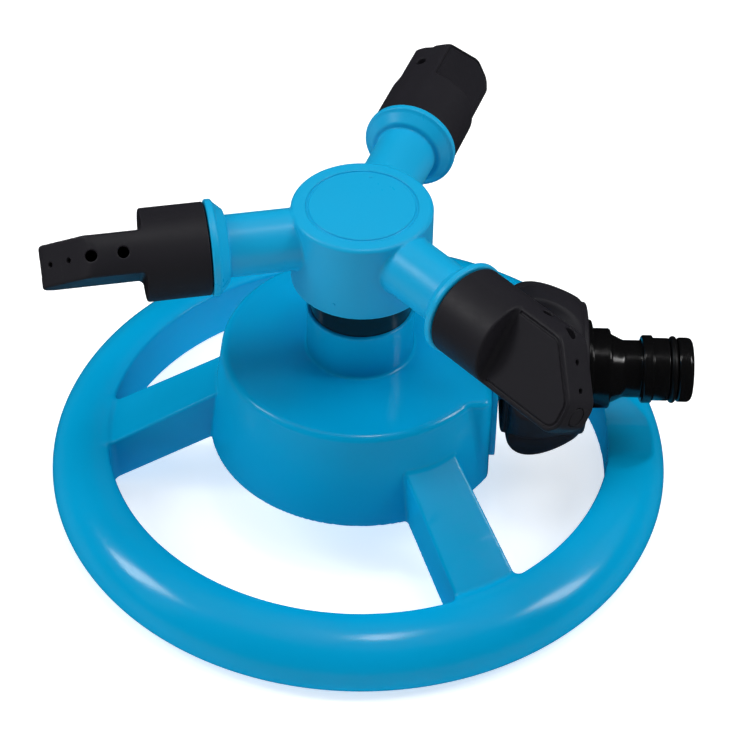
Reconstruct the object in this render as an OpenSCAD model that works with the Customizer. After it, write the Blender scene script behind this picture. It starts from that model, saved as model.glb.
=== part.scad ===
// Rotary lawn sprinkler: three arms turning on a dome, carried by a round ring base.
// Millimetres, +Z up, hose inlet along +X. The origin is on the ground, under the middle
// of the overall length; the rotor's axis stands axis_x from it.
// Inside the modules, lengths are measured from the rotor's axis.

/* [Base] */
// Outer radius of the ground ring
ring_r = 80; // [78:0.5:84]
// Inner radius of the ground ring
ring_in_r = 65; // [64:0.5:66]
// Height of the ring's crown
ring_h = 15; // [14:0.5:16]
// Radius of the dome at its lower edge
dome_r = 38.6; // [38:0.2:40]
// Height of the dome's lower edge above the ground
dome_z = 17; // [16:0.5:18]
// Height of the dome's flat top
dome_top = 43.8; // [43:0.2:46]
// Draft of the dome's wall, in degrees
dome_draft = 8; // [6:0.5:9]
// Wall thickness of the dome
wall = 2.4; // [2:0.1:2.6]
// Width of a spoke where it leaves the dome
spoke_in_w = 14; // [12:0.5:15]
// Width of a spoke where it meets the ring
spoke_out_w = 17; // [15:0.5:18]
// Outer radius of the collar on the dome
collar_r = 13.5; // [13:0.1:14.5]
// Height of the collar's rim
collar_top = 57; // [56:0.5:58]

/* [Rotor] */
// Radius of the hub
hub_r = 17.3; // [17:0.1:19]
// Height of the hub's underside
hub_z = 66.6; // [66:0.2:68]
// Height of the hub's top
hub_top = 88; // [87.8:0.2:90]
// Height of the arms' axis
arm_z = 80; // [79.5:0.1:80.5]
// Outer radius of an arm's tube
tube_r = 7.6; // [7.2:0.1:8]
// Radius of the flange at the end of an arm
flange_r = 11.8; // [11.4:0.1:12.4]
// Distance from the rotor's axis to the outer face of that flange
flange_x = 37.6; // [34:0.2:42]
// Angle of the first arm at rest, counter-clockwise from the inlet
rest_turn = 191.5; // [180:0.5:200]

/* [Nozzles] */
// Radius of a nozzle's socket
socket_r = 11.3; // [11.1:0.1:12]
// Length of a nozzle's socket
socket_len = 15.5; // [15:0.1:17]
// Thickness of a nozzle's flat head
head_t = 10.3; // [9:0.1:10.4]
// Tilt of each nozzle's jets above the horizontal, in degrees
jet_tilts = [46, 57, 65]; // [20:0.5:70]
// Radius of the two large jets
big_jet_r = 1.4; // [1:0.1:1.6]
// Radius of the two small jets
small_jet_r = 0.65; // [0.5:0.05:0.8]

/* [Inlet] */
// Depth of the inlet's axis below the dome's top
inlet_drop = 7.05; // [7.05:0.05:7.2]
// Distance from the rotor's axis to the inlet's flat pad
pad_x = 33; // [32:0.1:33.5]
// Half width of that pad
pad_w = 22; // [20:0.5:23]
// Largest radius of the hose nut
nut_r = 22.4; // [21:0.1:23]
// Number of finger scallops on the hose nut
scallops = 7; // [6:1:9]
// Distance from the rotor's axis to the tip of the hose plug
plug_end = 84.2; // [84:0.1:87]

/* [Hidden] */
$fn = 72;

axis_x = (ring_r - plug_end) / 2;
eps = 0.01;
slip = 0.06;            // radial gap of a running fit
snug = 0.05;            // radial gap of a fixed fit
play = 0.3;             // gap between parts that move past each other

// Ring
foot_r = 5.25;          // rounding under the ring's outer edge
crown_x = ring_r - 12;  // radius of the crown's ridge
spoke_turns = [60, 180, 300];
dip_w = 14.3;           // half width of the dip under the hose plug, at the ring's crown
dip_floor_w = 5.9;      // half width of its floor
dip_z = ring_h - 3;

// Dome
roof = 1.8;             // thickness of the dome's flat top
roof_z = dome_top - roof;
edge_r = 1.75;          // rounding of the dome's upper edge
pad_corner = 3;
boss_x = 27;            // distance of the screw bosses from the axis
boss_r = 4;
screw_r = 1.5;
cover_t = 2.5;
cover_z = dome_z + 1;
inlet_z = dome_top - inlet_drop;

// Water way and pivot
collar_bore = 10;
stem_r = 6;             // spindle's running radius
way_r = 3.6;            // water way through the spindle
pipe_r = 5.1;
pipe_bore = 3.8;
neck_top = collar_top - 5;
seat_r = 12.8;
seat_top = hub_z - 0.8;

// Hub
chamber_r = 12.6;
cap_r = 13.5;
cap_t = 2.4;
floor_t = 4;
bearing_top = hub_z + 7.4;
nut_z = bearing_top + 1;
nut_h = 4;
stem_top = hub_top - cap_t - 1;
port_z = nut_z + nut_h + 2.5;

// Arms
arm_bore = 4.5;
spigot_r = 7;
spigot_x = flange_x + 12.9;
flange_t = 4.5;         // a rim with a cone behind it
rim_t = 1.8;
seal_x = flange_x + 4.9;
clip_x = flange_x + 10.4;
socket_x = flange_x + play;
head_x = socket_x + socket_len;

// Inlet fitting
plate_x = pad_x + 1.6;
barrel_r = 10.42;
barrel_x = plate_x + 2.4;
barrel_end = plate_x + 13.4;
nut_x = plate_x + 1.4;
nut_end = plug_end - 27.2;
nut_body_r = 16.8;
nut_step = nut_end - 6.8;
swivel_x = barrel_x + 3.5;
washer_t = 1.9;

// Nozzle head
end_u = 24.2;           // distance of its end face from the socket's end
head_wall = 3;
cover_in = 0.5;
lid_t = 1.5;
plug_v = -4.8;
plug_r = 2.4;
slant = [40.6, 17.25];  // edge with the small jets: direction of its normal, and distance
bevel = [65.3, 15.25];   // small facet between it and the side with the large jets
big_jets = [4.9, 12.4];
small_jets = [7.15, 13.7]; // distances along the slanted edge from its upper corner
face_half = sqrt(pow(socket_r, 2) - pow(head_t / 2, 2));

// Edges of the head's outline for a half width h: [direction of the outward normal, distance].
// The bevel only reaches the widest part.
function head_edges(h) =
    [[90, h], if (h > 11) bevel, slant, [0, end_u], [-46, 22.4], [-90, h], [180, eps]];

// Meeting point of two neighbouring edges, both moved inwards by i
function corner(a, b, i) =
    let (k = sin(b[0] - a[0]), da = a[1] - i, db = b[1] - i)
    [(da * sin(b[0]) - db * sin(a[0])) / k, (db * cos(a[0]) - da * cos(b[0])) / k];

function head_outline(h, i) =
    let (e = head_edges(h), n = len(e))
    [for (k = [0:n - 1]) corner(e[k], e[(k + 1) % n], i)];

function wall_r(z) = dome_r - tan(dome_draft) * (z - dome_z);

module on_axis() translate([axis_x, 0, 0]) children();

// Turns a shape that stands on +Z so that it points along +X at the inlet's height
module on_inlet() on_axis() translate([0, 0, inlet_z]) rotate([0, 90, 0]) children();

// The same for arm k of the rotor at rest
module on_arm(k)
    on_axis() rotate([0, 0, rest_turn + 120 * (k - 1)]) translate([0, 0, arm_z]) children();

// Frame of a nozzle's head: X along the arm, Y towards the jets, Z across the flat
module on_head(k) on_arm(k) rotate([jet_tilts[k - 1], 0, 0]) translate([head_x, 0, 0]) children();

module pipe(r_out, r_in, z0, z1) {
    difference() {
        translate([0, 0, z0]) cylinder(r = r_out, h = z1 - z0);
        translate([0, 0, z0 - 1]) cylinder(r = r_in, h = z1 - z0 + 2);
    }
}

module o_ring(major, minor) rotate_extrude() translate([major, 0]) circle(minor, $fn = 24);

// ---- Base ----

module ring() {
    crown_end = acos((ring_in_r - crown_x) / (ring_r - crown_x));
    steps = 14;
    rotate_extrude() polygon(concat(
        [[ring_in_r - 0.2, 0]],
        [for (a = [-90:15:-15]) [ring_r - foot_r + foot_r * cos(a), foot_r + foot_r * sin(a)]],
        [for (i = [0:steps]) let (a = crown_end * i / steps)
            [crown_x + (ring_r - crown_x) * cos(a), foot_r + (ring_h - foot_r) * sin(a)]]
    ));
}

// A spoke slopes down from the dome to the ring and widens on the way.
// Its inner end stays within the dome's wall.
module spoke() {
    join_z = 31.8;
    join_x = wall_r(join_z);
    slope = 0.627;
    end_x = ring_in_r + 3;
    foot_x = ring_in_r + 1.5;
    mid = wall / 2;
    under = dome_z / (foot_x - dome_r + mid);
    start_x = dome_r - 1.6;
    head_x = join_x - mid;
    intersection() {
        rotate([90, 0, 0]) linear_extrude(40, center = true) polygon([
            [head_x, join_z + slope * mid], [end_x, join_z - slope * (end_x - join_x)],
            [end_x, 0], [foot_x, 0], [start_x, under * (foot_x - start_x)]
        ]);
        linear_extrude(60) polygon([
            [30, -spoke_in_w / 2], [end_x, -spoke_out_w / 2],
            [end_x, spoke_out_w / 2], [30, spoke_in_w / 2]
        ]);
    }
}

// Plan of the dome and its inlet pad, moved inwards by i
module pad_plan(i) {
    c = max(pad_corner - i, 0.5);
    translate([5, -pad_w + i]) square([pad_x - i - c - 5, 2 * (pad_w - i)]);
    translate([5, -pad_w + i + c]) square([pad_x - i - 5, 2 * (pad_w - i - c)]);
    for (s = [-1, 1]) translate([pad_x - i - c, s * (pad_w - i - c)]) circle(c);
}

// Keeps what lies behind the pad's rounded corners, moved inwards by i
module behind_pad(i) intersection() {
    children();
    translate([pad_x - pad_corner - i - 200, -100, -10]) cube([200, 200, 200]);
}

module dome_outside() {
    rim_z = dome_top - edge_r;
    rim_r = wall_r(rim_z) - edge_r;
    behind_pad(0) rotate_extrude() polygon(concat(
        [[0, dome_z], [dome_r, dome_z]],
        [for (a = [0:15:90]) [rim_r + edge_r * cos(a), rim_z + edge_r * sin(a)]],
        [[0, dome_top]]
    ));
    translate([0, 0, dome_z]) linear_extrude(dome_top - dome_z) pad_plan(0);
}

module dome_inside() {
    behind_pad(wall) rotate_extrude() polygon([
        [0, dome_z - 1], [wall_r(dome_z - 1) - wall, dome_z - 1],
        [wall_r(roof_z) - wall, roof_z], [0, roof_z]
    ]);
    translate([0, 0, dome_z - 1]) linear_extrude(roof_z - dome_z + 1) pad_plan(wall);
}

module screw_places() for (a = spoke_turns) rotate([0, 0, a]) translate([boss_x, 0, 0]) children();

module base_frame() {
    color("deepskyblue") on_axis() difference() {
        union() {
            difference() {
                union() {
                    ring();
                    for (a = spoke_turns) rotate([0, 0, a]) spoke();
                    dome_outside();
                }
                dome_inside();
            }
            translate([0, 0, roof_z]) cylinder(r = collar_r, h = collar_top - roof_z);
            screw_places() translate([0, 0, cover_z + cover_t])
                cylinder(r = boss_r, h = dome_top - roof / 2 - cover_z - cover_t);
        }
        translate([0, 0, roof_z - 1]) cylinder(r = collar_bore, h = collar_top);
        screw_places() translate([0, 0, cover_z]) cylinder(r = screw_r, h = 16, $fn = 24);
        translate([pad_x - wall - 2, 0, inlet_z]) rotate([0, 90, 0])
            cylinder(r = pipe_r + snug, h = wall + 4);
        translate([ring_in_r - 3, 0, 0]) rotate([90, 0, 90]) linear_extrude(30) polygon([
            [-dip_floor_w, dip_z], [dip_floor_w, dip_z],
            [2 * dip_w - dip_floor_w, 2 * ring_h - dip_z], [dip_floor_w - 2 * dip_w, 2 * ring_h - dip_z]
        ]);
    }
}

module bottom_cover() {
    gap = 0.2;
    color("deepskyblue") on_axis() translate([0, 0, cover_z]) difference() {
        union() {
            behind_pad(wall + gap)
                cylinder(r = wall_r(cover_z + cover_t) - wall - gap, h = cover_t);
            linear_extrude(cover_t) pad_plan(wall + gap);
        }
        screw_places() translate([0, 0, -1]) cylinder(r = screw_r + 0.5, h = cover_t + 2, $fn = 32);
    }
}

module cover_screws() {
    head_r = 3.4;
    head_h = 1.8;
    color("silver") on_axis() screw_places() translate([0, 0, cover_z]) difference() {
        union() {
            translate([0, 0, -head_h]) cylinder(r = head_r, h = head_h, $fn = 32);
            cylinder(r = screw_r - snug, h = 12, $fn = 24);
        }
        for (a = [0, 90]) rotate([0, 0, a])
            translate([-1.9, -0.35, -head_h - 1]) cube([3.8, 0.7, 2]);
    }
}

// ---- Water way and pivot ----

// Post on the cover that joins the inlet pipe to the spindle
module water_junction() {
    color("dimgray") on_axis() difference() {
        union() {
            translate([0, 0, cover_z + cover_t]) cylinder(r = 6, h = 8);
            translate([0, 0, cover_z + cover_t + 7]) cylinder(r = 8.5, h = roof_z - cover_z - cover_t - 7);
            translate([0, 0, roof_z - 3]) cylinder(r = 12, h = 3 - eps);
            translate([0, 0, roof_z - 1]) cylinder(r = collar_bore - snug, h = neck_top - roof_z + 1);
        }
        translate([0, 0, inlet_z - 5]) cylinder(r = 4, h = 30);
        translate([0, 0, roof_z + 4]) cylinder(r = stem_r + snug, h = 20);
        translate([0, 0, neck_top - 5.2]) cylinder(r = stem_r + 2.05, h = 2.4);
        translate([6, 0, inlet_z]) rotate([0, 90, 0]) cylinder(r = pipe_r + snug, h = 20);
        translate([0, 0, inlet_z]) rotate([0, 90, 0]) cylinder(r = pipe_bore, h = 8);
    }
}

module junction_seal() {
    color("black") on_axis() translate([0, 0, neck_top - 4]) o_ring(stem_r + 1.02, 0.98);
}

// Fixed hollow axle of the rotor, closed at its top, with three side ports for the water
module spindle() {
    color("goldenrod") on_axis() difference() {
        union() {
            translate([0, 0, roof_z + 4.2]) cylinder(r = stem_r, h = stem_top - roof_z - 4.2);
            translate([0, 0, neck_top]) cylinder(r = collar_bore - snug, h = 2);
        }
        translate([0, 0, roof_z]) cylinder(r = way_r, h = stem_top - roof_z - 1.5);
        for (a = [0, 120, 240]) rotate([0, 0, a])
            translate([0, 0, port_z]) rotate([0, 90, 0]) cylinder(r = 1.7, h = 10, $fn = 24);
    }
}

// Black bearing ring screwed into the collar; the rotor turns just above it
module pivot_seat() {
    bore = stem_r + snug;
    color("black") on_axis() rotate_extrude() polygon([
        [bore, neck_top + 2], [collar_bore - snug, neck_top + 2], [collar_bore - snug, collar_top],
        [seat_r, collar_top], [seat_r, seat_top - 0.5], [seat_r - 0.5, seat_top], [bore, seat_top]
    ]);
}

module lower_washer() {
    color("white") on_axis() pipe(9.5, stem_r + slip, seat_top, hub_z - 0.1);
}

module upper_washer() {
    color("white") on_axis() pipe(8.6, stem_r + slip, bearing_top + 0.1, nut_z);
}

module spindle_nut() {
    flats = 15;
    color("gold") on_axis() difference() {
        translate([0, 0, nut_z]) cylinder(d = flats / cos(30), h = nut_h, $fn = 6);
        translate([0, 0, nut_z - 1]) cylinder(r = stem_r + 0.02, h = nut_h + 2);
    }
}

module spindle_seal() {
    color("black") on_axis() translate([0, 0, hub_z + 4.3]) o_ring(stem_r + 0.92, 0.8);
}

// ---- Rotor ----

module hub_body() {
    edge = 1;
    rotate_extrude() polygon(concat(
        [[0, hub_z], [hub_r - 0.3, hub_z], [hub_r, hub_z + 0.3]],
        [for (a = [0:30:90]) [hub_r - edge + edge * cos(a), hub_top - edge + edge * sin(a)]],
        [[0, hub_top]]
    ));
}

module arm_outside() {
    rotate([0, 90, 0]) {
        translate([0, 0, 5]) cylinder(r = tube_r, h = flange_x - 6);
        rotate_extrude() polygon([
            [0, flange_x - flange_t], [tube_r + 1.2, flange_x - flange_t],
            [flange_r - 0.6, flange_x - rim_t - 0.2], [flange_r, flange_x - rim_t + 0.3],
            [flange_r, flange_x - 0.3], [flange_r - 0.3, flange_x], [0, flange_x]
        ]);
        difference() {
            translate([0, 0, flange_x - 1]) cylinder(r = spigot_r, h = spigot_x - flange_x + 1);
            translate([0, 0, seal_x]) pipe(spigot_r + 1, spigot_r - 1.6, -1.1, 1.1);
            translate([0, 0, clip_x]) pipe(spigot_r + 1, spigot_r - 0.8, 0, 1.2);
        }
    }
}

module rotor() {
    color("deepskyblue") difference() {
        union() {
            on_axis() hub_body();
            for (k = [1:3]) on_arm(k) arm_outside();
        }
        on_axis() {
            difference() {
                translate([0, 0, hub_z + floor_t]) cylinder(r = chamber_r, h = 30);
                cylinder(r = 9.5, h = bearing_top);
            }
            translate([0, 0, hub_z - 1]) cylinder(r = stem_r + slip, h = 12);
            translate([0, 0, hub_z + 3.3]) cylinder(r = stem_r + 1.75, h = 2);
            translate([0, 0, hub_top - cap_t]) cylinder(r = cap_r, h = 5);
        }
        for (k = [1:3]) on_arm(k) rotate([0, 90, 0])
            translate([0, 0, 10]) cylinder(r = arm_bore, h = spigot_x);
    }
}

module hub_cap() {
    r = cap_r - snug;
    color("deepskyblue") on_axis() rotate_extrude() polygon([
        [0, hub_top - cap_t], [r, hub_top - cap_t], [r, hub_top - 0.3], [r - 0.3, hub_top], [0, hub_top]
    ]);
}

// ---- Nozzles ----

// Outline of the flat face, moved inwards by i and cut off at the socket
module face_outline(i) intersection() {
    polygon(head_outline(face_half, i));
    translate([i, -50]) square(100);
}

module nozzle(k) {
    upper = corner([90, socket_r], slant, 0);
    color("black") difference() {
        on_head(k) intersection() {
            translate([-socket_len, 0, 0]) rotate([0, 90, 0]) cylinder(r = socket_r, h = 60);
            union() {
                translate([-20, -20, -20]) cube([20, 40, 40]);
                linear_extrude(head_t, center = true) polygon(head_outline(socket_r + 1, 0));
            }
        }
        on_arm(k) rotate([0, 90, 0]) {
            translate([0, 0, socket_x - 1]) cylinder(r = spigot_r + slip, h = socket_len - 1.2);
            translate([0, 0, clip_x - play]) cylinder(r = spigot_r + 1.2, h = 1.2 + 2 * play);
            translate([0, 0, socket_x]) cylinder(r = 3, h = socket_len + 5);
        }
        on_head(k) {
            translate([0, 0, -head_t / 2 + 2]) linear_extrude(head_t) intersection() {
                face_outline(head_wall);
                translate([1.5, -50]) square(100);
            }
            translate([0, 0, head_t / 2 - lid_t]) linear_extrude(head_t) face_outline(cover_in);
            for (u = big_jets) translate([u, 0, 0]) rotate([-90, 0, 0])
                translate([0, 0, 5]) cylinder(r = big_jet_r, h = 10, $fn = 32);
            for (d = small_jets) translate([upper[0] + d * sin(slant[0]), upper[1] - d * cos(slant[0]), 0])
                rotate([0, 90, slant[0]]) translate([0, 0, -4.5])
                    cylinder(r = small_jet_r, h = 10, $fn = 24);
            translate([18, plug_v, 0]) rotate([0, 90, 0]) cylinder(r = plug_r, h = 10, $fn = 32);
        }
    }
}

// Welded lid over the water chamber in the flat head
module nozzle_cover(k) {
    color("dimgray") on_head(k) translate([0, 0, head_t / 2 - lid_t])
        linear_extrude(lid_t) face_outline(cover_in + 0.05);
}

// Round plug in the end of the head
module nozzle_plug(k) {
    color("dimgray") on_head(k) translate([end_u - 2.7, plug_v, 0]) rotate([0, 90, 0])
        cylinder(r = plug_r - 0.03, h = 2.65, $fn = 32);
}

module nozzle_seal(k) {
    color("black") on_arm(k) rotate([0, 90, 0]) translate([0, 0, seal_x]) o_ring(spigot_r - 0.8, 0.78);
}

// Split snap ring that keeps the nozzle on the arm
module nozzle_clip(k) {
    color("silver") on_arm(k) rotate([0, 90, 0]) translate([0, 0, clip_x]) difference() {
        pipe(spigot_r + 0.9, spigot_r - 0.76, 0.05, 1.15);
        translate([0, -1.2, -1]) cube([20, 2.4, 4]);
    }
}

// ---- Inlet ----

module inlet_spigot() {
    plate_w = 17;
    plate_low = 20;
    plate_high = dome_top - 0.5;
    corner_r = 3;
    color("deepskyblue") difference() {
        union() {
            on_axis() translate([pad_x, 0, 0]) rotate([90, 0, 90])
                linear_extrude(plate_x - pad_x) {
                    translate([-plate_w, plate_low + corner_r])
                        square([2 * plate_w, plate_high - plate_low - 2 * corner_r]);
                    translate([-plate_w + corner_r, plate_low])
                        square([2 * (plate_w - corner_r), plate_high - plate_low]);
                    for (s = [-1, 1], z = [plate_low + corner_r, plate_high - corner_r])
                        translate([s * (plate_w - corner_r), z]) circle(corner_r, $fn = 32);
                }
            on_inlet() {
                translate([0, 0, 7]) cylinder(r = pipe_r, h = pad_x - 6);
                translate([0, 0, plate_x - 1]) cylinder(r = 8.5, h = 4);
                translate([0, 0, barrel_x]) cylinder(r = barrel_r, h = barrel_end - barrel_x);
            }
        }
        on_inlet() {
            translate([0, 0, 6]) cylinder(r = pipe_bore, h = 60);
            translate([0, 0, barrel_end - 5]) cylinder(r = 6.5, h = 10);
            translate([0, 0, swivel_x]) pipe(barrel_r + 1, barrel_r - 0.9, 0, 1.2);
        }
    }
}

// Split snap ring that lets the hose nut turn on the spigot but not come off
module nut_clip() {
    color("silver") on_inlet() translate([0, 0, swivel_x]) difference() {
        pipe(barrel_r + 0.9, barrel_r - 0.86, 0.05, 1.15);
        translate([0, -1.5, -1]) cube([30, 3, 4]);
    }
}

module hose_nut() {
    bulge_x = nut_x + 1.4;
    bulge_len = nut_end - 1.2 - bulge_x;
    rise = nut_r - nut_body_r;
    scallop_r = 8;
    scallop_x = nut_r + 4;
    nut_turn = 144;     // at rest one scallop faces up and to the rear
    color("black") on_inlet() difference() {
        union() {
            rotate_extrude() polygon([
                [0, nut_x], [nut_body_r - 1, nut_x], [nut_body_r, nut_x + 1],
                [nut_body_r, nut_end - 0.8], [nut_body_r - 0.8, nut_end], [0, nut_end]
            ]);
            difference() {
                rotate_extrude() polygon(concat(
                    [[10, bulge_x], [nut_body_r, bulge_x]],
                    [for (t = [0.04, 0.1, 0.18, 0.28, 0.45, 0.65, 0.82, 0.93])
                        [nut_body_r + rise * pow(sin(180 * pow(t, 0.6)), 0.7), bulge_x + t * bulge_len]],
                    [[nut_body_r, bulge_x + bulge_len], [10, bulge_x + bulge_len]]
                ));
                for (i = [1:scallops]) rotate([0, 0, nut_turn + 360 * i / scallops])
                    translate([scallop_x, 0, nut_x]) cylinder(r = scallop_r, h = nut_end - nut_x);
            }
        }
        translate([0, 0, nut_x - 1]) cylinder(r = barrel_r + 0.08, h = nut_step - nut_x + 1);
        translate([0, 0, nut_x]) cylinder(r = 9, h = 40);
        translate([0, 0, swivel_x - play]) cylinder(r = barrel_r + 1.2, h = 1.2 + 2 * play);
    }
}

module hose_washer() {
    color("black") on_inlet() pipe(barrel_r, 6.5, nut_step - washer_t, nut_step);
}

module filter_screen() {
    pitch = 1.9;
    color("silver") on_inlet() translate([0, 0, nut_step - washer_t / 2]) difference() {
        cylinder(r = 6.45, h = 0.5, center = true);
        for (i = [-2:2], j = [-2:2]) if (norm([i, j]) < 2.5)
            translate([i * pitch, j * pitch, 0]) cube([1.2, 1.2, 2], center = true);
    }
}

module quick_connector() {
    bore = 5.5;
    collar = 10.2;
    neck = 7.3;
    land = 8.2;
    lock_x = plug_end - 13;
    groove_x = plug_end - 6;
    tip = 1.5;
    color("black") on_inlet() rotate_extrude() polygon(concat(
        [[bore, nut_step + 0.2], [8.95, nut_step + 0.2], [8.95, nut_end]],
        [[12.3, nut_end], [12.3, nut_end + 1.2], [12, nut_end + 1.5]],
        [[collar, nut_end + 1.5], [collar, nut_end + 5.8], [collar - 0.5, nut_end + 6.3]],
        [for (a = [180:-18:90]) [neck + 1.9 + 1.9 * sin(a - 180), nut_end + 10.2 - 2.2 * (1 + cos(a))]],
        [[neck, lock_x]],
        [for (a = [0:30:180]) [8.0 + 0.65 * sin(a), lock_x + 1.4 - 1.4 * cos(a)]],
        [[8, groove_x], [6.82, groove_x], [6.82, groove_x + 2.1], [land, groove_x + 2.1]],
        [for (a = [0:22.5:90]) [land - tip + tip * cos(a), plug_end - tip + tip * sin(a)]],
        [[bore, plug_end]]
    ));
}

module connector_seal() {
    color("black") on_inlet() translate([0, 0, plug_end - 4.95]) o_ring(7.7, 0.85);
}

base_frame();
bottom_cover();
cover_screws();
water_junction();
junction_seal();
inlet_spigot();
hose_nut();
nut_clip();
hose_washer();
filter_screen();
quick_connector();
connector_seal();
pivot_seat();
spindle();
lower_washer();
upper_washer();
spindle_nut();
spindle_seal();
rotor();
hub_cap();
for (k = [1:3]) {
    nozzle(k);
    nozzle_cover(k);
    nozzle_plug(k);
    nozzle_seal(k);
    nozzle_clip(k);
}
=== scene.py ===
"""Looks of the rotary lawn sprinkler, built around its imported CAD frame.

Shapes are described in millimetres, measured from the rotor's axis, and turned into
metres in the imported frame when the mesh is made.
"""

import math

import bpy
import numpy as np
from mathutils import Matrix, Vector


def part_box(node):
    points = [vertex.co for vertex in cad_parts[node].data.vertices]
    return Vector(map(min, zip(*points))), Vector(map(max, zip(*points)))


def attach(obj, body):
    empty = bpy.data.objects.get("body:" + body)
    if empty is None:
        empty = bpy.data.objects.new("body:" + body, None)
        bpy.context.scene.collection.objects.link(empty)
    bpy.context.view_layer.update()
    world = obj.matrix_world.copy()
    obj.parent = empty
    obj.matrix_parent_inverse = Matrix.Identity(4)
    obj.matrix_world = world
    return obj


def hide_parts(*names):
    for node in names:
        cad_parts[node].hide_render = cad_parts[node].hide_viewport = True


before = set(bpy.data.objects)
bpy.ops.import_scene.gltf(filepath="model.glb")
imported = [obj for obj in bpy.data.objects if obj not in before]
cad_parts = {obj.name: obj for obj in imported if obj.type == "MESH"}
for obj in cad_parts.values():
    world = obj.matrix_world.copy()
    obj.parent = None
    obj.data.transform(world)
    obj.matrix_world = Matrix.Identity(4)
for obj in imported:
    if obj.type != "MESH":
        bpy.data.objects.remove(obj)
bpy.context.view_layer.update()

MM = 0.001

# ---- Sizes, in millimetres from the rotor's axis and the ground ----

# Ring and spokes
RING_R, RING_IN_R, RING_H = 80.0, 65.0, 15.0
RING_DRAFT = 0.2
FOOT_R = 5.25
CROWN_X = RING_R - 12
SPOKES, SPOKE_TURN = 3, 60
SPOKE_IN_X, SPOKE_RUN = 30, 38
SPOKE_IN_W, SPOKE_OUT_W = 14.0, 17.0
SPOKE_TOP_X, SPOKE_TOP_Z, SPOKE_FALL = 36.55, 31.8, 0.627
SPOKE_UNDER_IN, SPOKE_UNDER_OUT = 37.4, 66.5
SPOKE_LOW, SPOKE_HIGH = 35.6, 70
DIP_FLOOR_W, DIP_Z, DIP_SLOPE = 5.9, 12.0, math.atan2(3.0, 8.4)

# Dome, with the pad of the inlet on its side and the collar on its top
DOME_R, DOME_Z, DOME_TOP = 38.6, 17.0, 43.8
DOME_DRAFT = math.tan(math.radians(8))
WALL, ROOF = 2.4, 1.8
PAD_X, PAD_W, PAD_CORNER, PAD_BACK = 33.0, 22.0, 3.0, 2.5
BOSS_X, BOSS_R, BOSS_Z = 27.0, 4.0, 20.5
SCREW_R, SCREW_TOP = 1.5, 34
COLLAR_R, COLLAR_TOP, COLLAR_BORE = 13.5, 57.0, 10.0
NECK_TOP = COLLAR_TOP - 5
INLET_Z = DOME_TOP - 7.05
INLET_HOLE_R = 5.15

# Rotor: hub, cap and three arms
HUB_R, HUB_Z, HUB_TOP = 17.3, 66.6, 88.0
CAP_R, CAP_T = 13.5, 2.4
CAP_GROOVE_W, CAP_GROOVE_D = 0.45, 0.32
CHAMBER_R, CHAMBER_Z = 12.6, HUB_Z + 4
BEARING_R, BEARING_TOP = 9.5, 7.4
STEM_R, STEM_GAP = 6.0, 0.06
STEM_SEAL_W, STEM_SEAL_LOW, STEM_SEAL_HIGH = 1.75, 3.3, 5.3
ARMS, REST_TURN = 3, 191.5
ARM_Z, TUBE_R, TUBE_START, ARM_BORE, BORE_START = 80.0, 7.6, 4, 4.5, 10
FLANGE_R, FLANGE_X, FLANGE_T = 11.8, 37.6, 1.9
CONE_R, CONE_RISE, CONE_BACK, CONE_TOP_R = 8.9, 0.92, 4.4, 11.3
SPIGOT_R, SPIGOT_X = 7.0, 50.5
SEAT_R, SEAT_TOP = 12.8, HUB_Z - 0.8
# Grooves of an arm's spigot, measured from the flange's face
SEAL_R, SEAL_NEAR, SEAL_FAR = 5.4, 3.8, 6.0
CLIP_R, CLIP_NEAR, CLIP_FAR = 6.2, 10.4, 11.6
# Gate marks of the mouldings, on the hub's side and on the cap
GATE_AZIMUTH, GATE_Z = -112, 70.2
CAP_GATE = (1.9, 11.2)

# Nozzles, in the head's frame. An edge of the head is the direction of its outward normal,
# in degrees, and its distance.
SOCKET_R, SOCKET_X, HEAD_X = 11.3, 37.9, 53.4
HEAD_T = 10.3
JET_TILTS = (46, 57, 65)
SLANT, END, LOWER = (40.6, 17.25), (0, 24.2), (-46, 22.4)
BODY_EDGES = ((65.3, 15.25), SLANT, END, LOWER)
FACE_HALF = math.sqrt(SOCKET_R ** 2 - (HEAD_T / 2) ** 2)
FACE_EDGES = ((90, FACE_HALF), SLANT, END, LOWER, (-90, FACE_HALF))
BIG_JETS, BIG_JET_R, BIG_JET_V = (4.9, 12.4), 1.4, 5
SMALL_JETS, SMALL_JET_R, SMALL_JET_DEEP = (7.15, 13.7), 0.7, 4.5
END_PLUG_V, END_PLUG_R, END_PLUG_GAP = -4.8, 2.4, 0.12
END_PLUG_U, END_PLUG_T = 19, 2.6
SEAM_IN, SEAM_CORNER, SEAM_R, SEAM_U = 1.0, 1.0, 0.36, 1.2
LID_T, ROOM_IN, ROOM_FLOOR, ROOM_U = 1.5, 3.0, 2, 1.5
WATERWAY_R, WATERWAY_U = 3.0, (-2, 6)

# Inlet: plate and barrel on the pad, the hose nut round them, and the hose plug
PLATE_X, PLATE_Z, PLATE_HALF_W, PLATE_CORNER = PAD_X + 1.6, 20.0, 17, 3
SHOULDER_R, TAIL_R, TAIL_X, INLET_BORE = 8.5, 5.1, 7, 3.8
BARREL_R, BARREL_X, BARREL_END, BARREL_MOUTH = 10.42, 37.0, 48.0, 6.5
SWIVEL_X = BARREL_X + 3.5
NUT_X, NUT_END, NUT_R, NUT_BODY_R = 36.0, 57.0, 22.4, 16.8
LOBE_START, LOBE_END = 1.4, 1.2
SCALLOPS, NUT_TURN, SCALLOP_OUT, SCALLOP_R = 7, 144, 4, 8
NUT_GAP, NUT_ROOM_END, NUT_HOLE_R, NUT_CLIP_D = 0.08, 50.2, 9.0, 1.2
HOSE_END = 84.2
HOSE_BORE, HOSE_TAIL_R, HOSE_FLANGE_R, HOSE_BODY_R = 5.5, 8.95, 12.3, 10.2
HOSE_CONE_R, HOSE_NECK_R, HOSE_LOCK_R = 8.9, 7.3, 8.65
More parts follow.
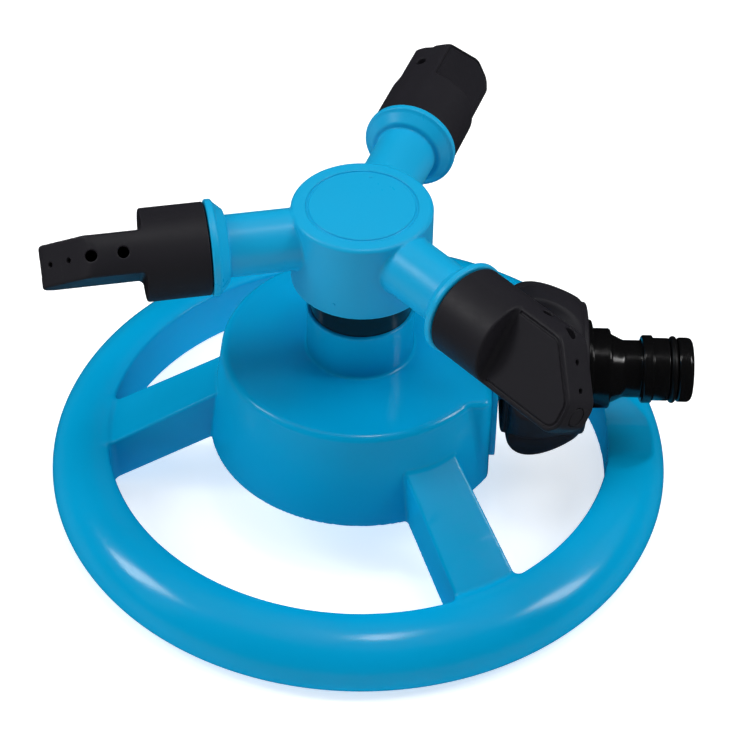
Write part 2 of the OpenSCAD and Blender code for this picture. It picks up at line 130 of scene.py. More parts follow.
HOSE_STEM_R, HOSE_GROOVE_R, HOSE_NOSE_R = 8.0, 6.82, 8.2
O_RING_R, O_RING_WIRE = 7.7, 0.85

# The rotor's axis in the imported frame, from the round cap on the hub
cap_low, cap_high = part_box("hub_cap")
AXIS = np.array([(cap_low.x + cap_high.x) / 2, (cap_low.y + cap_high.y) / 2, 0.0]) / MM


# ---- Distance fields ----

# Every field is a distance in millimetres, below zero inside. The last number given to join,
# both, cut and rod is the rounding of the edge that they make.

def span(a, b):
    """Length of a vector from its two components"""
    return np.sqrt(a * a + b * b)


def join(a, b, r):
    """Both solids, with a round fillet where they meet"""
    return np.maximum(r, np.minimum(a, b)) - span(np.maximum(r - a, 0), np.maximum(r - b, 0))


def both(a, b, r):
    """What two solids share, with its new edge rounded"""
    return np.minimum(-r, np.maximum(a, b)) + span(np.maximum(r + a, 0), np.maximum(r + b, 0))


def cut(a, b, r):
    """The first solid without the second"""
    return both(a, -b, r)


def between(x, low, high):
    """A slab"""
    return np.abs(x - (low + high) / 2) - (high - low) / 2


def rod(radius, along, r, low, high, edge):
    """A round bar, from its distance to the axis and its place along it"""
    return both(radius - r, between(along, low, high), edge)


def block(x, y, half_x, half_y, corner):
    """A rectangle in plan with rounded corners"""
    qx, qy = np.abs(x) - half_x + corner, np.abs(y) - half_y + corner
    return span(np.maximum(qx, 0), np.maximum(qy, 0)) + np.minimum(np.maximum(qx, qy), 0) - corner


def fold(x, y, first, count):
    """Turns each of count equal sectors onto the first one's own X axis"""
    step = 2 * math.pi / count
    angle = np.arctan2(y, x) - math.radians(first)
    angle = angle - step * np.round(angle / step)
    r = span(x, y)
    return r * np.cos(angle), r * np.sin(angle)


# ---- Meshing ----

# Grid points along a block's side, and blocks sampled at a time
BLOCK, CHUNK = 6, 3000
# How far past its own half diagonal a block still looks for the surface
REACH, REACH_MORE = 1.3, 0.2


def sample(shape, low, high, pitch):
    """Field values on a grid, exact near the surface and only right in sign elsewhere"""
    low = np.array(low, float)
    count = np.ceil((np.array(high, float) - low) / pitch).astype(int) + 1
    blocks = -(-count // BLOCK)
    place = np.indices(blocks).reshape(3, -1).T
    coarse = shape(*(low + (place * BLOCK + (BLOCK - 1) / 2) * pitch).T)
    values = coarse.reshape(blocks)
    for axis in range(3):
        values = np.repeat(values, BLOCK, axis)
    values = values[: count[0], : count[1], : count[2]].copy()
    reach = (BLOCK - 1) / 2 * pitch * math.sqrt(3) * REACH + REACH_MORE
    near = place[np.abs(coarse) < reach]
    inner = np.indices((BLOCK,) * 3).reshape(3, -1).T
    for start in range(0, len(near), CHUNK):
        at = (near[start:start + CHUNK, None, :] * BLOCK + inner[None]).reshape(-1, 3)
        at = at[(at < count).all(1)]
        values[tuple(at.T)] = shape(*(low + at * pitch).T)
    return values, low


def net(values, low, pitch):
    """Quads over the sign changes of a sampled field, with one vertex in each crossed cell"""
    inside = values < 0
    size = np.array(values.shape)
    corners = np.array([[i, j, k] for i in (0, 1) for j in (0, 1) for k in (0, 1)])
    total = np.zeros(size - 1, np.uint8)
    for c in corners:
        total += inside[c[0]:size[0] - 1 + c[0], c[1]:size[1] - 1 + c[1], c[2]:size[2] - 1 + c[2]]
    crossed = (total > 0) & (total < 8)
    cells = np.argwhere(crossed)
    index = np.full(crossed.shape, -1, np.int64)
    index[crossed] = np.arange(len(cells))
    at = [values[tuple((cells + c).T)] for c in corners]
    points = np.zeros((len(cells), 3))
    hits = np.zeros(len(cells))
    for a in range(8):
        for b in range(a + 1, 8):
            if np.abs(corners[a] - corners[b]).sum() != 1:
                continue
            change = (at[a] < 0) != (at[b] < 0)
            t = at[a][change] / (at[a][change] - at[b][change])
            points[change] += corners[a] + t[:, None] * (corners[b] - corners[a])
            hits[change] += 1
    points = low + (cells + points / hits[:, None]) * pitch
    faces = []
    for axis in range(3):
        u, v = np.eye(3, dtype=int)[(axis + 1) % 3], np.eye(3, dtype=int)[(axis + 2) % 3]
        first = np.take(inside, range(size[axis] - 1), axis)
        second = np.take(inside, range(1, size[axis]), axis)
        edge = np.argwhere(first != second)
        others = [(axis + 1) % 3, (axis + 2) % 3]
        ok = ((edge[:, others] > 0) & (edge[:, others] < size[others] - 1)).all(1)
        edge = edge[ok]
        quad = np.stack([index[tuple((edge - s).T)] for s in (0 * u, u, u + v, v)], 1)
        outward = first[tuple(edge.T)]
        faces.append(np.where(outward[:, None], quad, quad[:, ::-1]))
    return points, np.concatenate(faces)


def slope(shape, points, step=0.01):
    """Gradient of a field"""
    found = np.empty_like(points)
    for axis in range(3):
        move = np.zeros(3)
        move[axis] = step
        found[:, axis] = (shape(*(points + move).T) - shape(*(points - move).T)) / (2 * step)
    return found


def settle(shape, points, rounds, limit):
    """Moves points onto the surface"""
    for _ in range(rounds):
        g = slope(shape, points)
        d = shape(*points.T)
        step = (d / np.maximum((g * g).sum(1), 0.2))[:, None] * g
        size = np.linalg.norm(step, axis=1, keepdims=True)
        points = points - step * np.minimum(1, limit / np.maximum(size, 1e-9))
    return points


def even_out(points, faces):
    """Each point moved halfway to the mean of its neighbours"""
    a = faces.ravel()
    b = np.roll(faces, -1, 1).ravel()
    ends = np.concatenate([a, b])
    other = points[np.concatenate([b, a])]
    degree = np.bincount(ends, minlength=len(points))
    mean = np.stack([np.bincount(ends, other[:, i], len(points)) for i in range(3)], 1)
    return points * 0.5 + mean / np.maximum(degree, 1)[:, None] * 0.5


def mesh_of(name, points, faces):
    mesh = bpy.data.meshes.new(name)
    mesh.from_pydata(points.tolist(), [], faces if isinstance(faces, list) else faces.tolist())
    mesh.update()
    return mesh


def thinned(name, points, faces, share):
    """The same surface with fewer triangles where it is flat"""
    holder = bpy.data.objects.new(name, mesh_of(name, points, faces))
    bpy.context.scene.collection.objects.link(holder)
    fewer = holder.modifiers.new("fewer", "DECIMATE")
    fewer.ratio = share
    bpy.context.view_layer.update()
    done = holder.evaluated_get(bpy.context.evaluated_depsgraph_get()).to_mesh()
    done.calc_loop_triangles()
    co = np.empty(len(done.vertices) * 3)
    done.vertices.foreach_get("co", co)
    tri = np.empty(len(done.loop_triangles) * 3, np.int64)
    done.loop_triangles.foreach_get("vertices", tri)
    old = holder.data
    bpy.data.objects.remove(holder)
    bpy.data.meshes.remove(old)
    return co.reshape(-1, 3), tri.reshape(-1, 3)


def surface(name, shape, low, high, pitch, share=0.3):
    """Points, faces and normals of a field's zero surface"""
    values, low = sample(shape, low, high, pitch)
    points, faces = net(values, low, pitch)
    points = settle(shape, points, 2, pitch / 2)
    points = settle(shape, even_out(points, faces), 2, pitch / 2)
    if share < 1:
        points, faces = thinned(name, points, faces, share)
        points = settle(shape, points, 1, pitch / 4)
    normals = slope(shape, points)
    normals /= np.maximum(np.linalg.norm(normals, axis=1, keepdims=True), 1e-9)
    return points, faces, normals


def turn(axis, degrees):
    """Rotation matrix about one of the axes"""
    c, s = math.cos(math.radians(degrees)), math.sin(math.radians(degrees))
    if axis == "x":
        return np.array([[1, 0, 0], [0, c, -s], [0, s, c]])
    if axis == "y":
        return np.array([[c, 0, s], [0, 1, 0], [-s, 0, c]])
    return np.array([[c, -s, 0], [s, c, 0], [0, 0, 1]])


def piece(name, made, material, body, replaced, turned=np.eye(3), moved=(0, 0, 0)):
    """Object of a surface given in its own frame, placed from the rotor's axis"""
    points, faces, normals = made
    placed = (points @ turned.T + np.array(moved, float) + AXIS) * MM
    mesh = mesh_of(name, placed, faces)
    mesh.polygons.foreach_set("use_smooth", np.ones(len(mesh.polygons), bool))
    mesh.normals_split_custom_set_from_vertices((normals @ turned.T).tolist())
    mesh.materials.append(material)
    ob = bpy.data.objects.new(name, mesh)
    bpy.context.scene.collection.objects.link(ob)
    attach(ob, body)
    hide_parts(*replaced)
    return ob


def rounded(corners, steps=5):
    """Closed outline in the half plane (radius, height) with arcs for corners, and its normals.
    A corner is (radius, height, rounding)."""
    points, normals = [], []
    n = len(corners)
    for i in range(n):
        p = np.array(corners[i][:2], float)
        a = np.array(corners[i - 1][:2], float) - p
        b = np.array(corners[(i + 1) % n][:2], float) - p
        la, lb = np.linalg.norm(a), np.linalg.norm(b)
        a, b = a / la, b / lb
        half = math.acos(max(-1, min(1, float(a @ b)))) / 2
        na, nb = np.array([-a[1], a[0]]), np.array([b[1], -b[0]])
        r = min(corners[i][2], 0.49 * min(la, lb) * math.tan(half))
        if r <= 0 or half > 1.56:
            mean = na + nb
            points.append(p)
            normals.append(mean / np.linalg.norm(mean))
            continue
        centre = p + (a + b) / np.linalg.norm(a + b) * r / math.sin(half)
        convex = np.sign(float(na @ (a + b))) * -1
        start, end = p + a * r / math.tan(half), p + b * r / math.tan(half)
        for k in range(steps + 1):
            t = k / steps
            s, e = start - centre, end - centre
            angle = math.acos(max(-1, min(1, float(s @ e) / (r * r))))
            arm = (s * math.sin((1 - t) * angle) + e * math.sin(t * angle)) / math.sin(angle)
            points.append(centre + arm)
            normals.append(arm / r * convex)
    return np.array(points), np.array(normals)


def lathe(outline, segments=144):
    """A closed outline turned round +Z. The outline runs counter-clockwise, seen with the
    radius to the right."""
    points, normals = outline
    angles = np.linspace(0, 2 * math.pi, segments, endpoint=False)
    c, s = np.cos(angles)[:, None], np.sin(angles)[:, None]

    def swept(p):
        return np.stack([c * p[:, 0], s * p[:, 0], 0 * c + p[:, 1]], 2).reshape(-1, 3)

    solid, facing = swept(points), swept(normals)
    m = len(points)
    index = np.arange(segments * m).reshape(segments, m)
    # The copies of a point on the axis become one, which faces along the axis
    pole = points[:, 0] < 1e-9
    index[:, pole] = index[0, pole]
    facing.reshape(segments, m, 3)[:, pole] *= (0, 0, 1000)
    i, j = np.meshgrid(np.arange(segments), np.arange(m), indexing="ij")
    i2, j2 = (i + 1) % segments, (j + 1) % m
    quads = np.stack([index[i, j], index[i2, j], index[i2, j2], index[i, j2]], 2).reshape(-1, 4)
    return compact(solid, quads, facing)


def compact(points, quads, normals):
    """Faces without repeated corners, and only the points they use"""
    used, quads = np.unique(quads, return_inverse=True)
    quads = quads.reshape(-1, 4)
    faces = [[a for n, a in enumerate(q) if a != q[n - 1]] for q in quads.tolist()]
    faces = [f for f in faces if len(f) > 2]
    normals = normals[used]
    return points[used], faces, normals / np.linalg.norm(normals, axis=1, keepdims=True)


def merged(a, b):
    """Two closed surfaces in one mesh"""
    faces = list(a[1]) + [[i + len(a[0]) for i in f] for f in b[1]]
    return np.concatenate([a[0], b[0]]), faces, np.concatenate([a[2], b[2]])


def moved_by(made, turned, offset):
    """The same surface turned and moved"""
    points, faces, normals = made
    return points @ turned.T + np.array(offset, float), faces, normals @ turned.T


# ---- Fields of the parts ----

FAR_INSIDE = -50.0


def wall_r(z):
    return DOME_R - DOME_DRAFT * (z - DOME_Z)


def ring_field(r, z):
    """The ground ring: an elliptical crown over a rounded foot"""
    half_w, half_h = RING_R - CROWN_X, RING_H - FOOT_R
    u, v = (r - CROWN_X) / half_w, (z - FOOT_R) / half_h
    k0 = span(u, v)
    k1 = span(u / half_w, v / half_h)
    crown = k0 * (k0 - 1) / np.maximum(k1, 1e-6)
    qx, qy = r - (RING_R - FOOT_R), FOOT_R - z
    foot = span(np.maximum(qx, 0), np.maximum(qy, 0)) + np.minimum(np.maximum(qx, qy), 0) - FOOT_R
    inner = RING_IN_R - RING_DRAFT + RING_DRAFT * z / RING_H - r
    return both(np.where(z > FOOT_R, crown, foot), inner, 0.55)


def spoke_field(x, y, z):
    """Sloping spoke along +X, widening towards the ring"""
    lean = (SPOKE_OUT_W - SPOKE_IN_W) / 2 / SPOKE_RUN
    side = (np.abs(y) - SPOKE_IN_W / 2 - lean * (x - SPOKE_IN_X)) / math.hypot(1, lean)
    top = (z - SPOKE_TOP_Z + SPOKE_FALL * (x - SPOKE_TOP_X)) / math.hypot(1, SPOKE_FALL)
    fall = DOME_Z / (SPOKE_UNDER_OUT - SPOKE_UNDER_IN)
    under = (fall * (SPOKE_UNDER_OUT - x) - z) / math.hypot(1, fall)
    ends = between(x, SPOKE_LOW, SPOKE_HIGH)
    return both(both(side, top, 0.7), both(np.maximum(under, -z), ends, 0.3), 0.5)


def dome_plan(x, y, z, inset):
    """Horizontal outline of the dome with the flat pad of its inlet, moved inwards"""
    r = span(x, y)
    slant = math.hypot(1, DOME_DRAFT)
    side = both((r - wall_r(z)) / slant + inset, x - PAD_X + inset, PAD_CORNER - 1)
    corner = max(PAD_CORNER - inset, 0.6)
    half = PAD_X / 2 - PAD_BACK - inset
    pad = block(x - PAD_X / 2 - PAD_BACK, y, half, PAD_W - inset, corner)
    return join(side, pad, 0.8)


def base_field(x, y, z):
    """Ring, spokes, hollow dome and collar"""
    r = span(x, y)
    sx, sy = fold(x, y, SPOKE_TURN, SPOKES)
    shape = join(ring_field(r, z), spoke_field(sx, sy, z), 2.2)
    dome = both(dome_plan(x, y, z, 0), z - DOME_TOP, 1.75)
    dome = both(dome, DOME_Z - z, 0.4)
    shape = join(shape, dome, 0.7)
    inside = both(dome_plan(x, y, z, WALL), z - DOME_TOP + ROOF, 1.0)
    shape = cut(shape, np.maximum(inside, DOME_Z - 3 - z), 0.4)
    collar = both(r - COLLAR_R, between(z, DOME_TOP - ROOF, COLLAR_TOP), 0.45)
    shape = join(shape, collar, 0.9)
    boss_d = span(sx - BOSS_X, sy)
    boss = both(boss_d - BOSS_R, between(z, BOSS_Z, DOME_TOP - ROOF / 2), 0.2)
    shape = join(shape, boss, 0.5)
    shape = cut(shape, both(boss_d - SCREW_R, between(z, DOME_Z, SCREW_TOP), 0.1), 0.15)
    neck = between(z, DOME_TOP - 4, COLLAR_TOP + 2)
    shape = cut(shape, both(r - COLLAR_BORE, neck, 0.1), 0.35)
    inlet = between(x, PAD_X - 6, PAD_X + 2)
    shape = cut(shape, both(span(y, z - INLET_Z) - INLET_HOLE_R, inlet, 0.1), 0.2)
    ramp = (np.abs(y) - DIP_FLOOR_W) * math.sin(DIP_SLOPE) - (z - DIP_Z) * math.cos(DIP_SLOPE)
    dip = np.maximum(both(ramp, DIP_Z - z, 0.4), RING_IN_R - 3 - x)
    return both(cut(shape, dip, 0.35), -z, 0.4)


def flange_profile(r, x):
    """Flange at an arm's end: a rim with a cone behind it that runs down to the tube"""
    disc = both(r - FLANGE_R, between(x, FLANGE_X - FLANGE_T, FLANGE_X), 0.55)
    back = FLANGE_X - CONE_BACK
    cone = (r - CONE_R - CONE_RISE * (x - back)) / math.hypot(1, CONE_RISE)
    cone = both(cone, between(x, back, FLANGE_X - 0.4), 0.3)
    return join(disc, both(cone, r - CONE_TOP_R, 0.3), 0.4)


def rotor_field(x, y, z):
    """Hub with its chamber, and three arms with flanges and spigots"""
    r = span(x, y)
    hub = both(both(r - HUB_R, z - HUB_TOP, 1.1), HUB_Z - z, 0.35)
    lid_room = both(r - CAP_R, HUB_TOP - CAP_T - z, 0.1)
    hub = cut(hub, lid_room, 0.28)
    ax, ay = fold(x, y, REST_TURN, ARMS)
    ar = span(ay, z - ARM_Z)
    tube = rod(ar, ax, TUBE_R, TUBE_START, FLANGE_X - 2, 0.2)
    spigot = rod(ar, ax, SPIGOT_R, FLANGE_X - 3, SPIGOT_X, 0.3)
    groove = np.maximum(SEAL_R - ar, between(ax, FLANGE_X + SEAL_NEAR, FLANGE_X + SEAL_FAR))
    spigot = cut(spigot, groove, 0.1)
    groove = np.maximum(CLIP_R - ar, between(ax, FLANGE_X + CLIP_NEAR, FLANGE_X + CLIP_FAR))
    spigot = cut(spigot, groove, 0.1)
    shape = join(hub, join(flange_profile(ar, ax), tube, 0.35), 0.4)
    shape = cut(shape, lid_room, 0.3)
    shape = join(shape, spigot, 0.3)
    chamber = both(r - CHAMBER_R, between(z, CHAMBER_Z, HUB_TOP + 1), 0.3)
    chamber = cut(chamber, both(r - BEARING_R, z - HUB_Z - BEARING_TOP, 0.3), 0.3)
    shape = cut(shape, chamber, 0.3)
    stem = between(z, HUB_Z - 2, HUB_Z + 12)
    shape = cut(shape, both(r - STEM_R - STEM_GAP, stem, 0.1), 0.25)
    seal = between(z, HUB_Z + STEM_SEAL_LOW, HUB_Z + STEM_SEAL_HIGH)
    shape = cut(shape, both(r - STEM_R - STEM_SEAL_W, seal, 0.1), 0.15)
    bore = both(ar - ARM_BORE, between(ax, BORE_START, SPIGOT_X + 2), 0.1)
    return cut(shape, bore, 0.3)


def head_outline(u, v, edges, inset, corner):
    """Signed distance to a convex outline given by its edges"""
    d = np.full_like(u, FAR_INSIDE)
    for degrees, distance in edges:
        a = math.radians(degrees)
        d = both(d, u * math.cos(a) + v * math.sin(a) - distance + inset, corner)
    return d


def meeting(a, b):
    """Where two edges meet"""
    (ta, da), (tb, db) = a, b
    ta, tb = math.radians(ta), math.radians(tb)
    k = math.sin(tb - ta)
    return (da * math.sin(tb) - db * math.sin(ta)) / k, (db * math.cos(ta) - da * math.cos(tb)) / k


def nozzle_field(u, v, w):
    """Nozzle in its head's frame: U along the arm, V towards the jets, W across the flat"""
    r = span(v, w)
    shape = join(u, np.abs(w) - HEAD_T / 2, 1.3)
    shape = both(shape, head_outline(u, v, BODY_EDGES, 0, 1.2), 0.7)
    shape = both(shape, r - SOCKET_R, 0.6)
    shape = both(shape, SOCKET_X - HEAD_X - u, 0.3)
    seam = np.abs(head_outline(u, v, FACE_EDGES, SEAM_IN, SEAM_CORNER))
    groove = span(seam, w - HEAD_T / 2) - SEAM_R
    shape = cut(shape, np.maximum(groove, SEAM_U - u), 0.08)
    socket = rod(r, u, SPIGOT_R + 0.06, SOCKET_X - HEAD_X - 1, -1.2, 0.1)
    shape = cut(shape, socket, 0.3)
    clip = FLANGE_X + CLIP_NEAR - HEAD_X
    shape = cut(shape, rod(r, u, SPIGOT_R + 1.2, clip - 0.3, clip + 1.5, 0.1), 0.1)
    shape = cut(shape, rod(r, u, WATERWAY_R, *WATERWAY_U, 0.1), 0.2)
    room = head_outline(u, v, FACE_EDGES, ROOM_IN, 0.6)
    deep = between(w, -HEAD_T / 2 + ROOM_FLOOR, HEAD_T / 2 - LID_T - 0.4)
    room = both(room, deep, 0.4)
    shape = cut(shape, np.maximum(room, ROOM_U - u), 0.2)
    for at in BIG_JETS:
        shape = cut(shape, both(span(u - at, w) - BIG_JET_R, BIG_JET_V - v, 0.1), 0.3)
    turned = math.radians(SLANT[0])
    cx, cy = meeting((90, SOCKET_R), SLANT)
    for along in SMALL_JETS:
        du, dv = u - cx - along * math.sin(turned), v - cy + along * math.cos(turned)
        out = du * math.cos(turned) + dv * math.sin(turned)
        side = -du * math.sin(turned) + dv * math.cos(turned)
        jet = both(span(side, w) - SMALL_JET_R, -SMALL_JET_DEEP - out, 0.1)
        shape = cut(shape, jet, 0.12)
    plug = both(span(v - END_PLUG_V, w) - END_PLUG_R, END_PLUG_U - u, 0.1)
    return cut(shape, plug, 0.25)


def nut_field(x, y, z):
    """Hose nut in the inlet's frame, with Z along the hose"""
    r = span(x, y)
    start, length = NUT_X + LOBE_START, NUT_END - LOBE_END - NUT_X - LOBE_START
    t = np.clip((z - start) / length, 0.0005, 0.9995)
    bulge = NUT_BODY_R + (NUT_R - NUT_BODY_R) * np.sin(math.pi * t ** 0.6) ** 0.7
    outside = both((r - bulge) * 0.8, between(z, start, start + length), 0.4)
    fx, fy = fold(x, y, NUT_TURN, SCALLOPS)
    outside = cut(outside, span(fx - NUT_R - SCALLOP_OUT, fy) - SCALLOP_R, 0.7)
    body = both(r - NUT_BODY_R, between(z, NUT_X, NUT_END), 0.8)
    shape = join(outside, body, 0.5)
    barrel = rod(r, z, BARREL_R + NUT_GAP, NUT_X - 2, NUT_ROOM_END, 0.1)
    shape = cut(shape, barrel, 0.3)
    shape = cut(shape, rod(r, z, NUT_HOLE_R, NUT_X, NUT_END + 3, 0.1), 0.3)
    clip = rod(r, z, BARREL_R + NUT_CLIP_D, SWIVEL_X - 0.3, SWIVEL_X + 1.5, 0.1)
    return cut(shape, clip, 0.1)


def spigot_field(x, y, z):
    """Inlet fitting in axis coordinates: a plate against the dome's pad with a barrel on it"""
    r = span(y, z - INLET_Z)
    low, high = PLATE_Z, DOME_TOP - 0.5
    plan = block(y, z - (low + high) / 2, PLATE_HALF_W, (high - low) / 2, PLATE_CORNER)
    plate = both(plan, between(x, PAD_X, PLATE_X), 0.35)
    shape = join(plate, rod(r, x, SHOULDER_R, PLATE_X - 1, PLATE_X + 3, 0.2), 0.5)
    shape = join(shape, rod(r, x, BARREL_R, BARREL_X, BARREL_END, 0.4), 0.2)
    shape = join(shape, rod(r, x, TAIL_R, TAIL_X, PAD_X + 1, 0.3), 0.2)
    shape = cut(shape, rod(r, x, INLET_BORE, TAIL_X - 2, 60, 0.1), 0.3)
    shape = cut(shape, rod(r, x, BARREL_MOUTH, BARREL_END - 5, BARREL_END + 2, 0.1), 0.3)
    ring = np.maximum(BARREL_R - 0.9 - r, between(x, SWIVEL_X, BARREL_X + 4.7))
    return cut(shape, ring, 0.1)


# ---- Materials ----

# Noise scales, per metre, and heights of the two bumps of a moulded plastic
DRIFT_SCALE, FLECK_SCALE, SCUFF_SCALE = 22.0, 900.0, 260.0
SMEAR_SCALE, SPECK_SCALE, WAVE_SCALE = 60.0, 700.0, 45.0
WAVE_H = 0.006 * MM
TARNISH_SCALE, SCRATCH_H = 500.0, 0.01 * MM


def new_material(name):
    """A material with its shader, a maker of nodes and a maker of links"""
    m = bpy.data.materials.new(name)
    m.use_nodes = True
    nt = m.node_tree
    return m, nt.nodes["Principled BSDF"], nt.nodes.new, nt.links.new


def plastic(name, colour, rough, grain, wear=0.03, grain_scale=900.0, specular=0.5):
    """Moulded plastic: slight colour drift, uneven gloss, fine grain and scuffs on its edges"""
    m, shader, new, put = new_material(name)
    place = new("ShaderNodeTexCoord").outputs["Object"]

    def noise(scale, detail, roughness=0.55):
        n = new("ShaderNodeTexNoise")
        n.inputs["Scale"].default_value = scale
        n.inputs["Detail"].default_value = detail
        n.inputs["Roughness"].default_value = roughness
        put(place, n.inputs["Vector"])
        return n.outputs["Fac"]

    def spread(source, low, high, a=0.3, b=0.7):
        n = new("ShaderNodeMapRange")
        n.inputs["From Min"].default_value = a
        n.inputs["From Max"].default_value = b
        n.inputs["To Min"].default_value = low
        n.inputs["To Max"].default_value = high
        put(source, n.inputs["Value"])
        return n.outputs["Result"]

    def mixed(share, a, b):
        n = new("ShaderNodeMix")
        n.data_type = "RGBA"
        put(share, n.inputs["Factor"])
        for socket, value in ((n.inputs["A"], a), (n.inputs["B"], b)):
            if isinstance(value, tuple):
                socket.default_value = value
            else:
                put(value, socket)
        return n.outputs["Result"]

    def maths(operation, a, b):
        n = new("ShaderNodeMath")
        n.operation = operation
        put(a, n.inputs[0])
        put(b, n.inputs[1])
        return n.outputs[0]

    def bump(height, distance):
        n = new("ShaderNodeBump")
        n.inputs["Strength"].default_value = 1.0
        n.inputs["Distance"].default_value = distance
        put(height, n.inputs["Height"])
        return n

    def shade(k):
        return tuple(min(1.0, c * k) for c in colour) + (1.0,)

    drift = mixed(spread(noise(DRIFT_SCALE, 2.0), 0.0, 1.0), shade(0.97), shade(1.03))
    fleck = spread(noise(FLECK_SCALE, 4.0, 0.7), 0.0, 1.0, 0.62, 0.76)
    base = mixed(spread(fleck, 0.0, 0.06, 0.0, 1.0), drift, shade(1.2))
    edge = spread(new("ShaderNodeNewGeometry").outputs["Pointiness"], 0.0, 1.0, 0.53, 0.62)
    patches = spread(noise(SCUFF_SCALE, 5.0, 0.65), 0.0, wear * 3, 0.45, 0.75)
    pale = tuple(c * 0.9 + 0.06 for c in colour) + (1.0,)
    put(mixed(maths("MULTIPLY", edge, patches), base, pale), shader.inputs["Base Color"])
    smear = spread(noise(SMEAR_SCALE, 3.0), rough * 0.88, rough * 1.12)
    speck = spread(noise(SPECK_SCALE, 2.0), -0.02, 0.03)
    put(maths("ADD", smear, speck), shader.inputs["Roughness"])
    fine = bump(noise(grain_scale, 3.0, 0.6), grain * MM)
    wave = bump(noise(WAVE_SCALE, 1.0), WAVE_H)
    put(fine.outputs["Normal"], wave.inputs["Normal"])
    put(wave.outputs["Normal"], shader.inputs["Normal"])
    shader.inputs["Specular IOR Level"].default_value = specular
    return m


def metal(name, colour, rough):
    """Drawn or stamped metal with fine scratches and a little tarnish"""
    m, shader, new, put = new_material(name)
    marks = new("ShaderNodeTexNoise")
    marks.inputs["Scale"].default_value = TARNISH_SCALE
    marks.inputs["Detail"].default_value = 4.0
    put(new("ShaderNodeTexCoord").outputs["Object"], marks.inputs["Vector"])
    tint = new("ShaderNodeMix")
    tint.data_type = "RGBA"
    put(marks.outputs["Fac"], tint.inputs["Factor"])
    tint.inputs["A"].default_value = tuple(c * 0.8 for c in colour) + (1.0,)
    tint.inputs["B"].default_value = tuple(min(1.0, c * 1.1) for c in colour) + (1.0,)
    put(tint.outputs["Result"], shader.inputs["Base Color"])
    gloss = new("ShaderNodeMapRange")
    gloss.inputs["To Min"].default_value = rough * 0.7
    gloss.inputs["To Max"].default_value = rough * 1.3
    put(marks.outputs["Fac"], gloss.inputs["Value"])
    put(gloss.outputs["Result"], shader.inputs["Roughness"])
    bump = new("ShaderNodeBump")
    bump.inputs["Strength"].default_value = 1.0
    bump.inputs["Distance"].default_value = SCRATCH_H
    put(marks.outputs["Fac"], bump.inputs["Height"])
    put(bump.outputs["Normal"], shader.inputs["Normal"])
    shader.inputs["Metallic"].default_value = 1.0
    return m


def srgb(*levels):
    """Linear colour from levels of 0 to 255 on a screen"""
    shares = [level / 255 for level in levels]
    return tuple(c / 12.92 if c <= 0.04045 else ((c + 0.055) / 1.055) ** 2.4 for c in shares)


# Name, colour, roughness and height of the grain in millimetres
BLUE = plastic("blue_moulded", srgb(0, 163, 217), 0.18, 0.002, specular=0.4)
ROTOR_BLUE = plastic("blue_satin", srgb(18, 165, 215), 0.32, 0.003, specular=0.3)
BLACK = plastic("black_satin", srgb(33, 32, 37), 0.5, 0.012,
                wear=0.05, grain_scale=1500.0, specular=0.3)
GLOSS = plastic("black_gloss", srgb(14, 14, 15), 0.17, 0.001, wear=0.05, specular=0.5)
RUBBER = plastic("black_rubber", srgb(12, 12, 13), 0.38, 0.006, wear=0.02, specular=0.35)
ACETAL = plastic("white_acetal", srgb(226, 226, 220), 0.4, 0.01, wear=0.02)
STEEL = metal("stainless", (0.62, 0.63, 0.65), 0.28)


# ---- Pieces ----

ALONG_X = turn("y", 90)


def make_base():
    low, high = (-81, -81, -1), (81, 81, 58.5)
    made = surface("base_shell", base_field, low, high, pitch=0.5, share=0.28)
    piece("base_shell", made, BLUE, "base", ["base_frame"])


def make_inlet():
    low, high = (6, -18, 18), (49, 18, 48.5)
    made = surface("inlet_fitting", spigot_field, low, high, pitch=0.4, share=0.4)
    piece("inlet_fitting", made, BLUE, "base", ["inlet_spigot"])


def gate_mark(radius, height):
    """Small round stub left by the moulding, standing on +Z"""
    outline = [(0, -0.4, 0), (radius, -0.4, 0.05), (radius, height, height), (0, height, 0)]
    return lathe(rounded(outline), 20)


def make_rotor():
    low, high = (-52, -52, 65.5), (52, 52, 93.5)
    made = surface("rotor_shell", rotor_field, low, high, pitch=0.36, share=0.4)
    made = (made[0], made[1].tolist(), made[2])
    side = turn("z", GATE_AZIMUTH) @ ALONG_X
    mark = moved_by(gate_mark(0.5, 0.14), side, side @ np.array([-GATE_Z, 0, HUB_R]))
    piece("rotor_shell", merged(made, mark), ROTOR_BLUE, "rotor", ["rotor"])


def make_cap():
    """Cap with a shallow groove round its top, where it sits in the hub"""
    rim, floor = CAP_R - CAP_GROOVE_W, HUB_TOP - CAP_GROOVE_D
    disc = lathe(rounded([
        (0, HUB_TOP - CAP_T, 0), (CAP_R - 0.05, HUB_TOP - CAP_T, 0.15),
        (CAP_R - 0.05, HUB_TOP - 1.0, 0.1), (CAP_R + 0.45, HUB_TOP - 0.9, 0.05),
        (CAP_R + 0.45, floor, 0.05), (rim, floor, 0.12), (rim - 0.2, HUB_TOP, 0.2), (0, HUB_TOP, 0)
    ]))
    mark = moved_by(gate_mark(0.45, 0.12), np.eye(3), (*CAP_GATE, HUB_TOP))
    piece("cap_disc", merged(disc, mark), ROTOR_BLUE, "rotor", ["hub_cap"])


